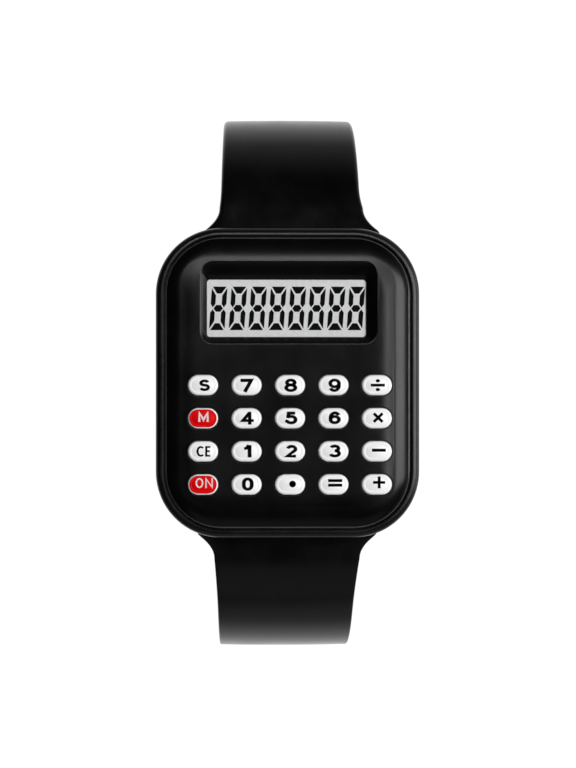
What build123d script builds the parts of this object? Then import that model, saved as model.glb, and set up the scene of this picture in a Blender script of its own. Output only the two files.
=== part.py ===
from build123d import *
import math
import os

# A calculator watch with a moulded strap, buckled into a loop. Millimetres.
# +Z points out of the dial, +Y to the buckle side of the strap, +X to the right.
# The origin is the centre of the case back's outer face.

# Case
case_width = 42.0
case_length = 49.3
case_corner = 10.5
case_bottom = 0.3
rim_top = 9.5
rim_wall = 1.3
rim_round = 1.0
rim_lip = 0.2
underside_bevel = 2.0
side_wall = 3.7
end_wall = 5.55
cavity_corner = 4.0
ear_width = 4.6
ear_length = 4.8

# Case back and its screws
back_side_margin = 3.7
back_end_margin = 4.15
back_corner = 7.2
back_thickness = 1.2
back_edge_bevel = 0.25
back_fit = 0.15
back_screw_inset_x = 2.9
back_screw_inset_y = 2.5
back_head_radius = 1.15
back_head_height = 0.6
back_shank_radius = 0.7
back_shank_length = 3.6
screw_fit = 0.05
cross_length = 1.3
cross_width = 0.3
cross_depth = 0.3
cell_rib_wall = 0.8
cell_rib_height = 1.6

# Front panel: a rolled shoulder round a flat field
face_top = 10.5
panel_seat = 8.0
panel_gap = 0.22
panel_thickness = 1.6
shoulder_drop = 0.9
shoulder_slope = 25.0
shoulder_roll = 8.0
panel_edge_bevel = 0.15

# Recess and window for the display
recess_slope_x = 1.45
recess_slope_y = 2.05
recess_corner = 1.5
recess_x = 0.15
recess_shift_y = 0.95
recess_depth = 1.1
window_length = 9.1
window_corner = 0.5
window_x = -0.2
window_inset_y = 7.25
window_land = 0.2

# Display stack
glass_side = 3.1
glass_border_x = 1.55
glass_border_y = 0.7
glass_thickness = 0.7
glass_ledge = 1.9
glass_fit = 0.15
polariser_thickness = 0.2
polariser_inset = 0.4
reflector_thickness = 0.15
zebra_inset = 0.7
zebra_thickness = 1.4

# Keys
key_columns = 5
key_rows = 4
key_side = 1.12
key_end = 1.35
key_display_gap = 3.45
key_web_x = 2.09
key_web_y = 2.0
key_grid_x = 0.3
key_rise = 0.75
key_bevel = 0.3
pill_corner_share = 0.49
key_gap = 0.12
flange_margin = 0.35
flange_thickness = 0.6
flange_gap = 0.1

# Rubber keypad with a dome under each key
mat_margin = 0.5
mat_corner = 2.4
mat_thickness = 0.6
mat_glass_gap = 0.3
dome_width = 3.4
dome_length = 2.4
dome_taper = 16.0
dome_gap = 0.08

# Circuit board and what it carries
board_bottom = 5.2
board_thickness = 1.0
board_margin = 0.6
post_radius = 1.1
post_bore = 0.5
post_bore_depth = 2.2
post_fit = 0.25
board_head_radius = 0.95
board_head_height = 0.5
board_shank_radius = 0.5
board_shank_length = 2.8
blob_radius = 3.6
blob_height = 1.2
blob_x = -5.5
blob_y = -6.5
crystal_radius = 1.0
crystal_length = 6.0
crystal_x = 7.3
crystal_y = -6.0
capacitor_width = 1.0
capacitor_length = 2.0
capacitor_height = 0.9
capacitor_x = -0.5
capacitor_pitch = 2.6

# Button cell and its contacts
cell_radius = 5.8
cell_height = 3.1
cell_bevel = 0.2
cell_inset_y = 10.1
cell_fit = 0.15
negative_cap_radius = 4.6
negative_cap_height = 0.25
contact_width = 3.0
contact_thickness = 0.2
contact_foot = 2.2
contact_reach = 1.9

# Strap
strap_width_case = 22.8
strap_width_flat = 20.2
strap_thickness = 2.2
strap_bevel = 0.5
strap_gap = 0.1
strap_overlap = 1.0
strap_start_z = 3.6
strap_slope = 15.0
strap_run = 4.6
shoulder_bend = 20.0
side_bend = 18.0
under_bend = 40.0
under_bend_angle = 30.0
layer_gap = 0.45
flare_width = 2.5
flare_hug = 0.4
tip_length = 7.0
tip_round = 7.0
tip_wrap_angle = 25.0

# Holes of the tail
hole_count = 7
holes_before_tang = 2
hole_pitch = 7.0
hole_length = 5.2
hole_width = 2.6
hole_lead = 1.0

# Lugs and their spring bars
lug_inset = 1.2
lug_fit = 0.2
bay_depth = 3.15
bay_top = 4.75
lug_bar_inset = 1.6
lug_bar_z = 2.75
lug_bar_radius = 0.75
lug_bar_pin_radius = 0.45
lug_bar_pin_length = 0.9
bar_fit = 0.05
knuckle_wall = 0.7

# Buckle
buckle_bar_y = -2.0
buckle_bar_radius = 0.7
nose_wall = 0.55
buckle_length = 9.6
buckle_knee_share = 0.6
buckle_wall = 1.7
buckle_thickness = 1.7
buckle_end_width = 2.0
buckle_corner = 2.4
buckle_side_gap = 0.45
buckle_tail_gap = 0.25
buckle_boss_radius = 1.3
tang_width = 2.0
tang_thickness = 1.0
tang_side_gap = 0.25
tang_seat_gap = 0.1
tang_bend = 1.0
tang_rise = 2.4
tang_tip = 1.5
tang_groove = 0.75
tang_level = 1.2

# Keepers
keeper_width = 3.6
keeper_wall = 1.1
keeper_gap = 0.2
keeper_bevel = 0.6
keeper_fixed_y = 5.0
keeper_loose_y = 10.4

overrun = 1.0

# Places worked out from the sizes above
case_end = case_length / 2
cavity_width = case_width - 2 * side_wall
cavity_length = case_length - 2 * end_wall
back_width = case_width - 2 * back_side_margin
back_length = case_length - 2 * back_end_margin
back_screw_x = cavity_width / 2 - back_screw_inset_x
back_screw_y = cavity_length / 2 - back_screw_inset_y
back_top = back_thickness
board_top = board_bottom + board_thickness
panel_inset = rim_wall + panel_gap
panel_width = case_width - 2 * panel_inset
panel_length = case_length - 2 * panel_inset
panel_corner = case_corner - panel_inset
panel_underside = face_top - panel_thickness
display_top = face_top - recess_depth - window_land
glass_top = display_top - polariser_thickness
glass_width = cavity_width - 2 * glass_side
rear_glass_length = window_length + 2 * glass_border_y
glass_length = rear_glass_length + glass_ledge
window_width = glass_width - 2 * glass_border_x
window_y = cavity_length / 2 - window_inset_y
recess_width = window_width + 2 * recess_slope_x
recess_length = window_length + 2 * recess_slope_y
recess_y = window_y + recess_shift_y
glass_y = window_y - glass_ledge / 2
glass_low_y = glass_y - glass_length / 2
display_post_x = glass_width / 2 + glass_fit + post_fit + post_radius
cell_y = cavity_length / 2 - cell_inset_y
key_pitch_x = (cavity_width - 2 * key_side + key_web_x) / key_columns
key_width = key_pitch_x - key_web_x
keys_low_y = key_end - cavity_length / 2
keys_high_y = glass_low_y - key_display_gap
key_pitch_y = (keys_high_y - keys_low_y + key_web_y) / key_rows
key_height = key_pitch_y - key_web_y
key_grid_y = (keys_low_y + keys_high_y) / 2
key_top = face_top + key_rise
flange_top = panel_underside - flange_gap
flange_bottom = flange_top - flange_thickness
mat_top = board_top + mat_thickness
dome_top = flange_bottom - dome_gap
cell_top = back_top + cell_height
lug_width = strap_width_case - 2 * lug_inset
lug_bar_y = case_end - lug_bar_inset
lug_knuckle_radius = lug_bar_radius + bar_fit + knuckle_wall
nose_radius = buckle_bar_radius + bar_fit + nose_wall
layer_step = strap_thickness + layer_gap

key_names = [
    ["key_s", "key_7", "key_8", "key_9", "key_divide"],
    ["key_m", "key_4", "key_5", "key_6", "key_multiply"],
    ["key_ce", "key_1", "key_2", "key_3", "key_minus"],
    ["key_on", "key_0", "key_point", "key_equals", "key_plus"],
]


# Common shapes

def plate(width, length, corner, bottom, top, x=0, y=0):
    """A rounded rectangle in plan, from one height to another."""
    outline = Pos(x, y, bottom) * RectangleRounded(width, length, corner)
    return extrude(outline, amount=top - bottom)


def pill(width, height, bottom, top, x, y):
    """A plate with ends that are all but half-round, along its longer side."""
    corner = pill_corner_share * min(width, height)
    return plate(width, height, corner, bottom, top, x, y)


def post(radius, bottom, top, x, y):
    return extrude(Pos(x, y, bottom) * Circle(radius), amount=top - bottom)


def rod_x(radius, half_length, y, z):
    """A round bar along X, centred on x = 0."""
    return Pos(0, y, z) * Rot(0, 90, 0) * Cylinder(radius, 2 * half_length)


def four_corners(x, y):
    return [(x, y), (-x, y), (-x, -y), (x, -y)]


def key_place(column, row):
    x = key_grid_x + (column - (key_columns - 1) / 2) * key_pitch_x
    y = key_grid_y + ((key_rows - 1) / 2 - row) * key_pitch_y
    return x, y


def post_places():
    """Four posts between the keys, and one at each end of the display."""
    left, upper = key_place(0.5, 0.5)
    right, lower = key_place(key_columns - 1.5, key_rows - 1.5)
    keypad = [(left, upper), (right, upper), (left, lower), (right, lower)]
    display = [(-display_post_x, glass_y), (display_post_x, glass_y)]
    return keypad, display


# Case

def mid_case():
    body = plate(case_width, case_length, case_corner, case_bottom, rim_top)
    body = fillet(body.edges().group_by(Axis.Z)[-1], rim_round)
    body = chamfer(body.edges().group_by(Axis.Z)[0], underside_bevel)
    body -= plate(
        case_width - 2 * rim_wall, case_length - 2 * rim_wall, case_corner - rim_wall,
        panel_seat, rim_top + overrun,
    )
    rim = body.faces().sort_by(Axis.Z)[-1]
    body = chamfer(rim.inner_wires()[0].edges(), rim_lip)
    body -= plate(cavity_width, cavity_length, cavity_corner, board_bottom, rim_top)
    body -= lower_cavity()
    body -= plate(
        back_width + 2 * back_fit, back_length + 2 * back_fit, back_corner + back_fit,
        case_bottom - overrun, back_top,
    )
    for side in (-1, 1):
        body -= lug_bay(side)
        body -= rod_x(
            lug_bar_pin_radius + bar_fit, lug_width / 2 + lug_bar_pin_length,
            side * lug_bar_y, lug_bar_z,
        )
    for x, y in four_corners(back_screw_x, back_screw_y):
        body -= post(back_shank_radius + screw_fit, back_top - overrun, board_bottom, x, y)
    return body


def lower_cavity():
    """The room under the board, with a solid ear left in each corner."""
    room = plate(cavity_width, cavity_length, cavity_corner, back_top - overrun, board_bottom)
    for x, y in four_corners(cavity_width / 2, cavity_length / 2):
        ear = Box(2 * ear_width, 2 * ear_length, 2 * board_bottom)
        room -= Pos(x, y, board_bottom) * ear
    return room


def lug_bay(side):
    """The notch in one end of the case that the strap's knuckle sits in."""
    height = bay_top + overrun
    depth = bay_depth + overrun
    centre_y = side * (case_end - bay_depth + depth / 2)
    return Pos(0, centre_y, bay_top - height / 2) * Box(lug_width, depth, height)


def case_back():
    cover = plate(back_width, back_length, back_corner, 0, back_top)
    cover = chamfer(cover.edges().group_by(Axis.Z)[0], back_edge_bevel)
    rib_outer = cell_radius + cell_fit + cell_rib_wall
    rib = post(rib_outer, back_top, back_top + cell_rib_height, 0, cell_y)
    rib -= post(cell_radius + cell_fit, back_top, back_top + cell_rib_height, 0, cell_y)
    slot_width = contact_width + 2 * cell_fit
    rib -= Pos(rib_outer, cell_y, back_top + cell_rib_height / 2) * Box(
        2 * rib_outer, slot_width, cell_rib_height
    )
    cover += rib
    for x, y in four_corners(back_screw_x, back_screw_y):
        cover -= post(back_shank_radius + screw_fit, 0, back_top, x, y)
        cover -= post(back_head_radius + screw_fit, 0, back_head_height, x, y)
    return cover


def screw(head_radius, head_height, shank_radius, shank_length, x, y, head_bottom):
    """A pan-head screw with a cross recess, driven in from below."""
    head = post(head_radius, head_bottom, head_bottom + head_height, x, y)
    shank_bottom = head_bottom + head_height
    shank = post(shank_radius, shank_bottom, shank_bottom + shank_length, x, y)
    recess = Box(cross_length, cross_width, 2 * cross_depth)
    recess += Box(cross_width, cross_length, 2 * cross_depth)
    return head + shank - Pos(x, y, head_bottom) * recess


def back_screws():
    return Compound(children=[
        screw(
            back_head_radius, back_head_height, back_shank_radius, back_shank_length, x, y, 0
        )
        for x, y in four_corners(back_screw_x, back_screw_y)
    ])


# Front panel

def front_panel():
    body = plate(panel_width, panel_length, panel_corner, panel_seat, face_top)
    run = shoulder_drop / math.tan(math.radians(shoulder_slope))
    field = body.faces().sort_by(Axis.Z)[-1]
    body = chamfer(field.edges(), run, shoulder_drop, reference=field)
    body = chamfer(body.edges().group_by(Axis.Z)[2], panel_edge_bevel)
    body = fillet(body.edges().group_by(Axis.Z)[-1], shoulder_roll)
    body -= plate(cavity_width, cavity_length, cavity_corner, panel_seat, panel_underside)
    body -= display_recess()
    body -= plate(
        glass_width + 2 * glass_fit, glass_length + 2 * glass_fit, window_corner,
        panel_underside, display_top, 0, glass_y,
    )
    for row in range(key_rows):
        for column in range(key_columns):
            x, y = key_place(column, row)
            body -= pill(
                key_width + 2 * key_gap, key_height + 2 * key_gap,
                panel_underside, face_top + overrun, x, y,
            )
    keypad_posts, display_posts = post_places()
    for x, y in keypad_posts + display_posts:
        body += post(post_radius, board_top, panel_underside, x, y)
        body -= post(post_bore, board_top, board_top + post_bore_depth, x, y)
    return body


def display_recess():
    """A funnel with sloped walls, and the window at its floor."""
    mouth = Pos(recess_x, recess_y, face_top) * RectangleRounded(
        recess_width, recess_length, recess_corner
    )
    floor_z = face_top - recess_depth
    throat = Pos(window_x, window_y, floor_z) * RectangleRounded(
        window_width, window_length, window_corner
    )
    funnel = loft([throat, mouth])
    window = plate(
        window_width, window_length, window_corner, panel_underside, floor_z,
        window_x, window_y,
    )
    return funnel + window


# Display

def lcd_glass():
    front = plate(
        glass_width, glass_length, window_corner, glass_top - glass_thickness, glass_top,
        0, glass_y,
    )
    rear = plate(
        glass_width, rear_glass_length, window_corner, glass_top - 2 * glass_thickness,
        glass_top - glass_thickness, 0, window_y,
    )
    return front + rear


def lcd_polariser():
    return plate(
        glass_width - 2 * polariser_inset, glass_length - 2 * polariser_inset, window_corner,
        glass_top, display_top, 0, glass_y,
    )


def lcd_reflector():
    top = glass_top - 2 * glass_thickness
    return plate(
        glass_width - 2 * polariser_inset, rear_glass_length - 2 * polariser_inset,
        window_corner, top - reflector_thickness, top, 0, window_y,
    )


def zebra_connector():
    """The rubber strip of fine conductors between the glass ledge and the board."""
    top = glass_top - glass_thickness
    y = glass_low_y + glass_ledge / 2
    width = glass_width - 2 * zebra_inset
    return Pos(0, y, (board_top + top) / 2) * Box(width, zebra_thickness, top - board_top)


# Circuit board and what it carries

def circuit_board():
    board = plate(
        cavity_width - 2 * board_margin, cavity_length - 2 * board_margin,
        cavity_corner - board_margin, board_bottom, board_top,
    )
    keypad_posts, display_posts = post_places()
    for x, y in keypad_posts + display_posts:
        board -= post(board_shank_radius + screw_fit, board_bottom, board_top, x, y)
    return board


def board_screws():
    keypad_posts, display_posts = post_places()
    bore_fit = board_shank_radius - screw_fit
    return Compound(children=[
        screw(
            board_head_radius, board_head_height, bore_fit, board_shank_length, x, y,
            board_bottom - board_head_height,
        )
        for x, y in keypad_posts + display_posts
    ])


def chip_blob():
    """The epoxy dome over the bare chip, a cap of a sphere."""
    ball_radius = (blob_radius ** 2 + blob_height ** 2) / (2 * blob_height)
    ball = Pos(blob_x, blob_y, board_bottom - blob_height + ball_radius) * Sphere(ball_radius)
    room = post(blob_radius + overrun, board_bottom - blob_height, board_bottom, blob_x, blob_y)
    return ball & room


def quartz_crystal():
    can = Cylinder(crystal_radius, crystal_length)
    can = chamfer(can.edges().group_by(Axis.Z)[-1], crystal_radius / 3)
    return Pos(crystal_x, crystal_y, board_bottom - crystal_radius) * Rot(-90, 0, 0) * can


def capacitors():
    z = board_bottom - capacitor_height / 2
    block = Box(capacitor_width, capacitor_length, capacitor_height)
    return Compound(children=[
        Pos(capacitor_x + i * capacitor_pitch, blob_y, z) * block for i in range(2)
    ])


def battery_cell():
    can = post(cell_radius, back_top, cell_top - negative_cap_height, 0, cell_y)
    can = chamfer(can.edges().group_by(Axis.Z)[0], cell_bevel)
    can = chamfer(can.edges().group_by(Axis.Z)[-1], cell_bevel)
    cap = post(negative_cap_radius, cell_top - negative_cap_height, cell_top, 0, cell_y)
    return can + cap


def battery_contact_negative():
    """A leaf from the board's underside that dips to the cell's cap."""
    under = board_bottom
    leaf_line = Polyline(
        (cell_radius + contact_foot, under - contact_thickness / 2),
        (cell_radius, under - contact_thickness / 2),
        (negative_cap_radius / 2 + contact_reach, cell_top + contact_thickness / 2),
        (0, cell_top + contact_thickness / 2),
    )
    return ribbon(leaf_line, -1)


def battery_contact_positive():
    """A strip from the board's underside down the side of the can."""
    side = cell_radius + contact_thickness / 2
    strip_line = Polyline(
        (side + contact_foot, board_bottom - contact_thickness / 2),
        (side, board_bottom - contact_thickness / 2),
        (side, board_bottom - contact_thickness - contact_reach),
    )
    return ribbon(strip_line, 1)


def ribbon(line, side):
    """A thin bent strip whose line lies in the XZ plane through the cell."""
    strip = trace(line, line_width=contact_thickness)
    strip = extrude(Plane.XZ * strip, amount=contact_width / 2, both=True)
    turn = 180 if side < 0 else 0
    return Pos(0, cell_y, 0) * Rot(0, 0, turn) * strip


# Keys and keypad

def key(column, row):
    x, y = key_place(column, row)
    cap = pill(key_width, key_height, flange_bottom, key_top, x, y)
    cap = chamfer(cap.edges().group_by(Axis.Z)[-1], key_bevel)
    flange = pill(
        key_width + 2 * flange_margin, key_height + 2 * flange_margin,
        flange_bottom, flange_top, x, y,
    )
    return cap + flange


def rubber_keypad():
    left, top_row = key_place(0, 0)
    right, bottom_row = key_place(key_columns - 1, key_rows - 1)
    low_y = bottom_row - key_height / 2 - mat_margin
    high_y = glass_low_y - mat_glass_gap
    width = right - left + key_width + 2 * mat_margin
    mat = plate(
        width, high_y - low_y, mat_corner, board_top, mat_top,
        (left + right) / 2, (high_y + low_y) / 2,
    )
    keypad_posts, _ = post_places()
    for x, y in keypad_posts:
        mat -= post(post_radius + post_fit, board_top, mat_top, x, y)
    for row in range(key_rows):
        for column in range(key_columns):
            x, y = key_place(column, row)
            base = Pos(x, y, mat_top) * Rectangle(dome_width, dome_length)
            mat += extrude(base, amount=dome_top - mat_top, taper=dome_taper)
    return mat


# Strap

def strap_lines(extra_drop, shift=0):
    """The curve of one strap half, from the case to the flat under the wrist.

    It is drawn as a flat curve: its x is the distance from the case's middle along Y,
    and its y is the height. The tail's half drops by extra_drop more than the other,
    and shift moves the curve outward from the middle of the strap's thickness.
    """
    slope = math.radians(strap_slope)
    start = (
        case_end - strap_overlap + shift * math.sin(slope),
        strap_start_z + shift * math.cos(slope),
    )
    lead = PolarLine(start, strap_run, -strap_slope)
    shoulder = JernArc(lead @ 1, lead % 1, shoulder_bend + shift, strap_slope - 90)
    side_start = (shoulder @ 1).X, (shoulder @ 1).Y - extra_drop
    drop = [Line(shoulder @ 1, side_start)] if extra_drop else []
    side = JernArc(side_start, (0, -1), side_bend + shift, under_bend_angle - 90)
    under = JernArc(side @ 1, side % 1, under_bend + shift, -under_bend_angle)
    return [lead, shoulder] + drop + [side, under]


def flat_start(extra_drop):
    """Where the straight stretch under the wrist begins, as a distance and a height."""
    end = strap_lines(extra_drop)[-1] @ 1
    return end.X, end.Y


def strap_curve(extra_drop, shift, flat_end, wrap_angle):
    """The curve past the head: round the wrist, along the flat and up the far side."""
    lines = strap_lines(extra_drop, shift)[1:]
    height = (lines[-1] @ 1).Y
    lines.append(Line(lines[-1] @ 1, (flat_end, height)))
    if wrap_angle:
        wrap_bend = under_bend + extra_drop + shift
        lines.append(JernArc((flat_end, height), (-1, 0), wrap_bend, -wrap_angle))
    return lines


def strap_half_width(z):
    """The sides draw in evenly from the case down to the flat."""
    flat_z = flat_start(0)[1]
    taper = (strap_width_case - strap_width_flat) / 2 / (strap_start_z - flat_z)
    return strap_width_case / 2 - taper * (strap_start_z - z)


def strap_band(extra_drop, flat_end, wrap_angle):
    """The band of even thickness, with slanted sides and bevelled edges."""
    half = strap_thickness / 2
    outer = strap_curve(extra_drop, half, flat_end, wrap_angle)
    inner = strap_curve(extra_drop, -half, flat_end, wrap_angle)
    caps = [Line(outer[0] @ 0, inner[0] @ 0), Line(outer[-1] @ 1, inner[-1] @ 1)]
    profile = Plane.YZ * make_face(outer + inner + caps)
    band = extrude(profile, amount=strap_width_case, both=True)
    low, high = 2 * flat_start(0)[1], face_top
    sides = Polygon(
        (-strap_half_width(low), low), (strap_half_width(low), low),
        (strap_half_width(high), high), (-strap_half_width(high), high),
        align=None,
    )
    band &= extrude(Plane.XZ * sides, amount=case_length, both=True)
    for face in (band.faces().sort_by(Axis.X)[0], band.faces().sort_by(Axis.X)[-1]):
        long_edges = [e for e in face.edges() if e.length > strap_thickness + strap_bevel]
        band = chamfer(long_edges, strap_bevel)
    return band


def strap_head():
    """The flat slab at the case, whose sides flare out in a parabola to its corners."""
    tip = strap_width_case / 2 + flare_width
    neck = strap_half_width((strap_lines(0)[0] @ 1).Y)
    flare_start = strap_overlap - flare_hug
    right = [
        Line((0, 0), (tip, 0)),
        Line((tip, 0), (tip, flare_start)),
        Bezier((tip, flare_start), (neck, (flare_start + strap_run) / 2), (neck, strap_run)),
        Line((neck, strap_run), (0, strap_run)),
    ]
    half = make_face(right + [Line((0, 0), (0, strap_run))])
    outline = half + mirror(half, about=Plane.YZ)
    slab = extrude(outline, amount=strap_thickness / 2, both=True)
    for level in (0, -1):
        rim = slab.edges().group_by(Axis.Z)[level].filter_by(Axis.X, reverse=True)
        slab = chamfer(rim, strap_bevel)
    slope = math.radians(strap_slope)
    place = Plane(
        origin=(0, case_end - strap_overlap, strap_start_z),
        x_dir=(1, 0, 0), z_dir=(0, math.sin(slope), math.cos(slope)),
    )
    return place * slab


def strap_half(extra_drop, flat_end, wrap_angle):
    """A strap half on the +Y side: its head, its band and its knuckle at the lug."""
    head = strap_head() - plate(
        case_width + 2 * strap_gap, case_length + 2 * strap_gap, case_corner + strap_gap,
        -face_top, face_top,
    )
    strap = head + strap_band(extra_drop, flat_end, wrap_angle) + strap_knuckle()
    return strap - rod_x(lug_bar_radius + bar_fit, lug_width, lug_bar_y, lug_bar_z)


def strap_knuckle():
    """The eye round the spring bar, and the neck that joins it to the head."""
    half_width = lug_width / 2 - lug_fit
    reach = case_end + strap_overlap
    middle_z = strap_start_z - 2 * strap_overlap * math.tan(math.radians(strap_slope))
    half = (strap_thickness - bar_fit) / 2
    neck = Polygon(
        (lug_bar_y, lug_bar_z - lug_knuckle_radius),
        (reach, middle_z - half),
        (reach, middle_z + half),
        (lug_bar_y, lug_bar_z + lug_knuckle_radius),
        align=None,
    )
    neck = extrude(Plane.YZ * neck, amount=half_width, both=True)
    return neck + rod_x(lug_knuckle_radius, half_width, lug_bar_y, lug_bar_z)


def strap_upper():
    """The half that carries the buckle, with a slot in its nose for the tang."""
    height = flat_start(0)[1]
    strap = strap_half(0, buckle_bar_y, 0)
    nose_half_width = strap_half_width(height) - strap_bevel
    strap += rod_x(nose_radius, nose_half_width, buckle_bar_y, height)
    strap -= rod_x(buckle_bar_radius + bar_fit, strap_width_flat, buckle_bar_y, height)
    slot_width = tang_width + 2 * tang_side_gap
    slot_length = 2 * (nose_radius + tang_side_gap)
    return strap - Pos(0, buckle_bar_y, height) * Box(slot_width, slot_length, slot_length)


def strap_lower():
    """The tail's half: it runs outside the other half, with a row of oblong holes."""
    start, height = flat_start(layer_step)
    strap = strap_half(layer_step, -start, tip_wrap_angle)
    lines = strap_lines(layer_step)
    lines.append(Line((start, height), (-start, height)))
    lines.append(JernArc((-start, height), (-1, 0), under_bend + layer_step, -tip_wrap_angle))
    path = Wire(lines)
    flat_length = sum(line.length for line in lines[:-2])
    tang_hole = flat_length + start + buckle_bar_y + hole_lead - hole_length / 2
    for i in range(hole_count):
        strap -= tail_hole(path, tang_hole + (i - holes_before_tang) * hole_pitch)
    strap -= tail_tip_waste(lines[-1] @ 1)
    return mirror(strap, about=Plane.XZ)


def tail_tip_waste(tip):
    """What is cut off the tail's end to leave it rounded in plan."""
    length = 2 * tip_length
    block = Pos(0, tip.X, tip.Y) * Box(case_width, length, length)
    kept = plate(
        2 * strap_half_width(tip.Y), 2 * length, tip_round, tip.Y - length, tip.Y + length,
        0, tip.X + length,
    )
    return block - kept


def tail_hole(path, length):
    place = path.position_at(length, position_mode=PositionMode.LENGTH)
    heading = path.tangent_at(length, position_mode=PositionMode.LENGTH)
    plane = Plane(
        origin=(0, place.X, place.Y), x_dir=(0, heading.X, heading.Y),
        z_dir=(0, -heading.Y, heading.X),
    )
    return extrude(plane * SlotOverall(hole_length, hole_width), amount=strap_thickness, both=True)


def spring_bar(side):
    """A tube with a spring-loaded pin at each end."""
    tube = rod_x(lug_bar_radius, lug_width / 2 - lug_fit, side * lug_bar_y, lug_bar_z)
    pin = rod_x(
        lug_bar_pin_radius, lug_width / 2 + lug_bar_pin_length - bar_fit,
        side * lug_bar_y, lug_bar_z,
    )
    return tube + pin


# Buckle and keepers

def buckle_half_width():
    return strap_width_flat / 2 + buckle_side_gap + buckle_wall


def buckle_end_place():
    """The middle of the frame's end bar, as Y and height."""
    tail_outer_z = flat_start(layer_step)[1] - strap_thickness / 2
    return buckle_bar_y - buckle_length, tail_outer_z - buckle_tail_gap - buckle_thickness / 2


def buckle_frame():
    """Two cranked arms from the bar, joined by the end bar outside the tail."""
    bar_z = flat_start(0)[1]
    end_y, end_z = buckle_end_place()
    knee_y = buckle_bar_y - buckle_length * buckle_knee_share
    half_width = buckle_half_width()
    boss = Pos(buckle_bar_y, bar_z) * Circle(buckle_boss_radius)
    knee = Pos(knee_y, end_z) * Circle(buckle_thickness / 2)
    end = Pos(end_y, end_z) * Circle(buckle_thickness / 2)
    profile = make_hull(boss.edges() + knee.edges()) + make_hull(knee.edges() + end.edges())
    frame = extrude(Plane.YZ * profile, amount=half_width, both=True)
    length = buckle_length + 2 * buckle_boss_radius + buckle_thickness
    outer_y = end_y - buckle_thickness / 2
    frame &= plate(
        2 * half_width, length, buckle_corner, end_z - buckle_thickness,
        bar_z + 2 * buckle_boss_radius, 0, outer_y + length / 2,
    )
    inner_width = 2 * (half_width - buckle_wall)
    inner_y = outer_y + buckle_end_width
    frame -= plate(
        inner_width, length, buckle_corner - buckle_wall, end_z - buckle_thickness,
        bar_z + 2 * buckle_boss_radius, 0, inner_y + length / 2,
    )
    frame -= rod_x(buckle_bar_radius + bar_fit, half_width + overrun, buckle_bar_y, bar_z)
    groove = Box(tang_width + 2 * tang_seat_gap, 2 * buckle_end_width, 2 * tang_groove)
    return frame - Pos(0, end_y, end_z - buckle_thickness / 2) * groove


def buckle_bar():
    return rod_x(buckle_bar_radius, buckle_half_width() - bar_fit, buckle_bar_y, flat_start(0)[1])


def buckle_tang():
    """A bent tongue: an eye on the bar, a rise through the hole, a run to the end bar."""
    bar_z = flat_start(0)[1]
    end_y, end_z = buckle_end_place()
    seat_z = end_z - buckle_thickness / 2 + tang_groove - tang_seat_gap - tang_thickness / 2
    tail_outer_z = flat_start(layer_step)[1] - strap_thickness / 2
    bend_y = buckle_bar_y - tang_rise - tang_thickness
    bend_z = tail_outer_z - tang_seat_gap - tang_thickness / 2
    line = FilletPolyline(
        (buckle_bar_y - tang_thickness / 2, bar_z - buckle_bar_radius),
        (bend_y, bend_z),
        (end_y + buckle_end_width + tang_level, seat_z),
        (end_y - tang_tip, seat_z),
        radius=tang_bend,
    )
    tongue = trace(line, line_width=tang_thickness)
    eye = Pos(buckle_bar_y, bar_z) * Circle(buckle_boss_radius)
    tang = extrude(Plane.YZ * (tongue + eye), amount=tang_width / 2, both=True)
    return tang - rod_x(buckle_bar_radius + bar_fit, tang_width, buckle_bar_y, bar_z)


def keeper(y):
    """A loop round both halves of the strap."""
    half_width = strap_half_width(flat_start(0)[1]) + keeper_gap
    half_height = (strap_thickness + layer_step) / 2 + keeper_gap
    loop = Box(2 * (half_width + keeper_wall), 2 * (half_height + keeper_wall), keeper_width)
    loop = chamfer(loop.edges().filter_by(Axis.Z), keeper_bevel)
    loop -= Box(2 * half_width, 2 * half_height, 2 * keeper_width)
    middle_z = flat_start(0)[1] - layer_step / 2
    return Pos(0, y, middle_z) * Rot(90, 0, 0) * loop


parts = {
    "mid_case": mid_case,
    "front_panel": front_panel,
    "case_back": case_back,
    "back_screws": back_screws,
    "lcd_glass": lcd_glass,
    "lcd_polariser": lcd_polariser,
    "lcd_reflector": lcd_reflector,
    "zebra_connector": zebra_connector,
    "circuit_board": circuit_board,
    "board_screws": board_screws,
    "chip_blob": chip_blob,
    "quartz_crystal": quartz_crystal,
    "capacitors": capacitors,
    "battery_cell": battery_cell,
    "battery_contact_negative": battery_contact_negative,
    "battery_contact_positive": battery_contact_positive,
    "rubber_keypad": rubber_keypad,
    "strap_upper": strap_upper,
    "strap_lower": strap_lower,
    "spring_bar_upper": lambda: spring_bar(1),
    "spring_bar_lower": lambda: spring_bar(-1),
    "buckle_frame": buckle_frame,
    "buckle_bar": buckle_bar,
    "buckle_tang": buckle_tang,
    "keeper_fixed": lambda: keeper(keeper_fixed_y),
    "keeper_loose": lambda: keeper(keeper_loose_y),
}

os.makedirs("parts", exist_ok=True)
for name, make in parts.items():
    export_step(make(), f"parts/{name}.step")
for row, names in enumerate(key_names):
    for column, name in enumerate(names):
        export_step(key(column, row), f"parts/{name}.step")
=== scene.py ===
import math

import bmesh
import bpy
from mathutils import Matrix, Vector
from mathutils.geometry import delaunay_2d_cdt

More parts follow.
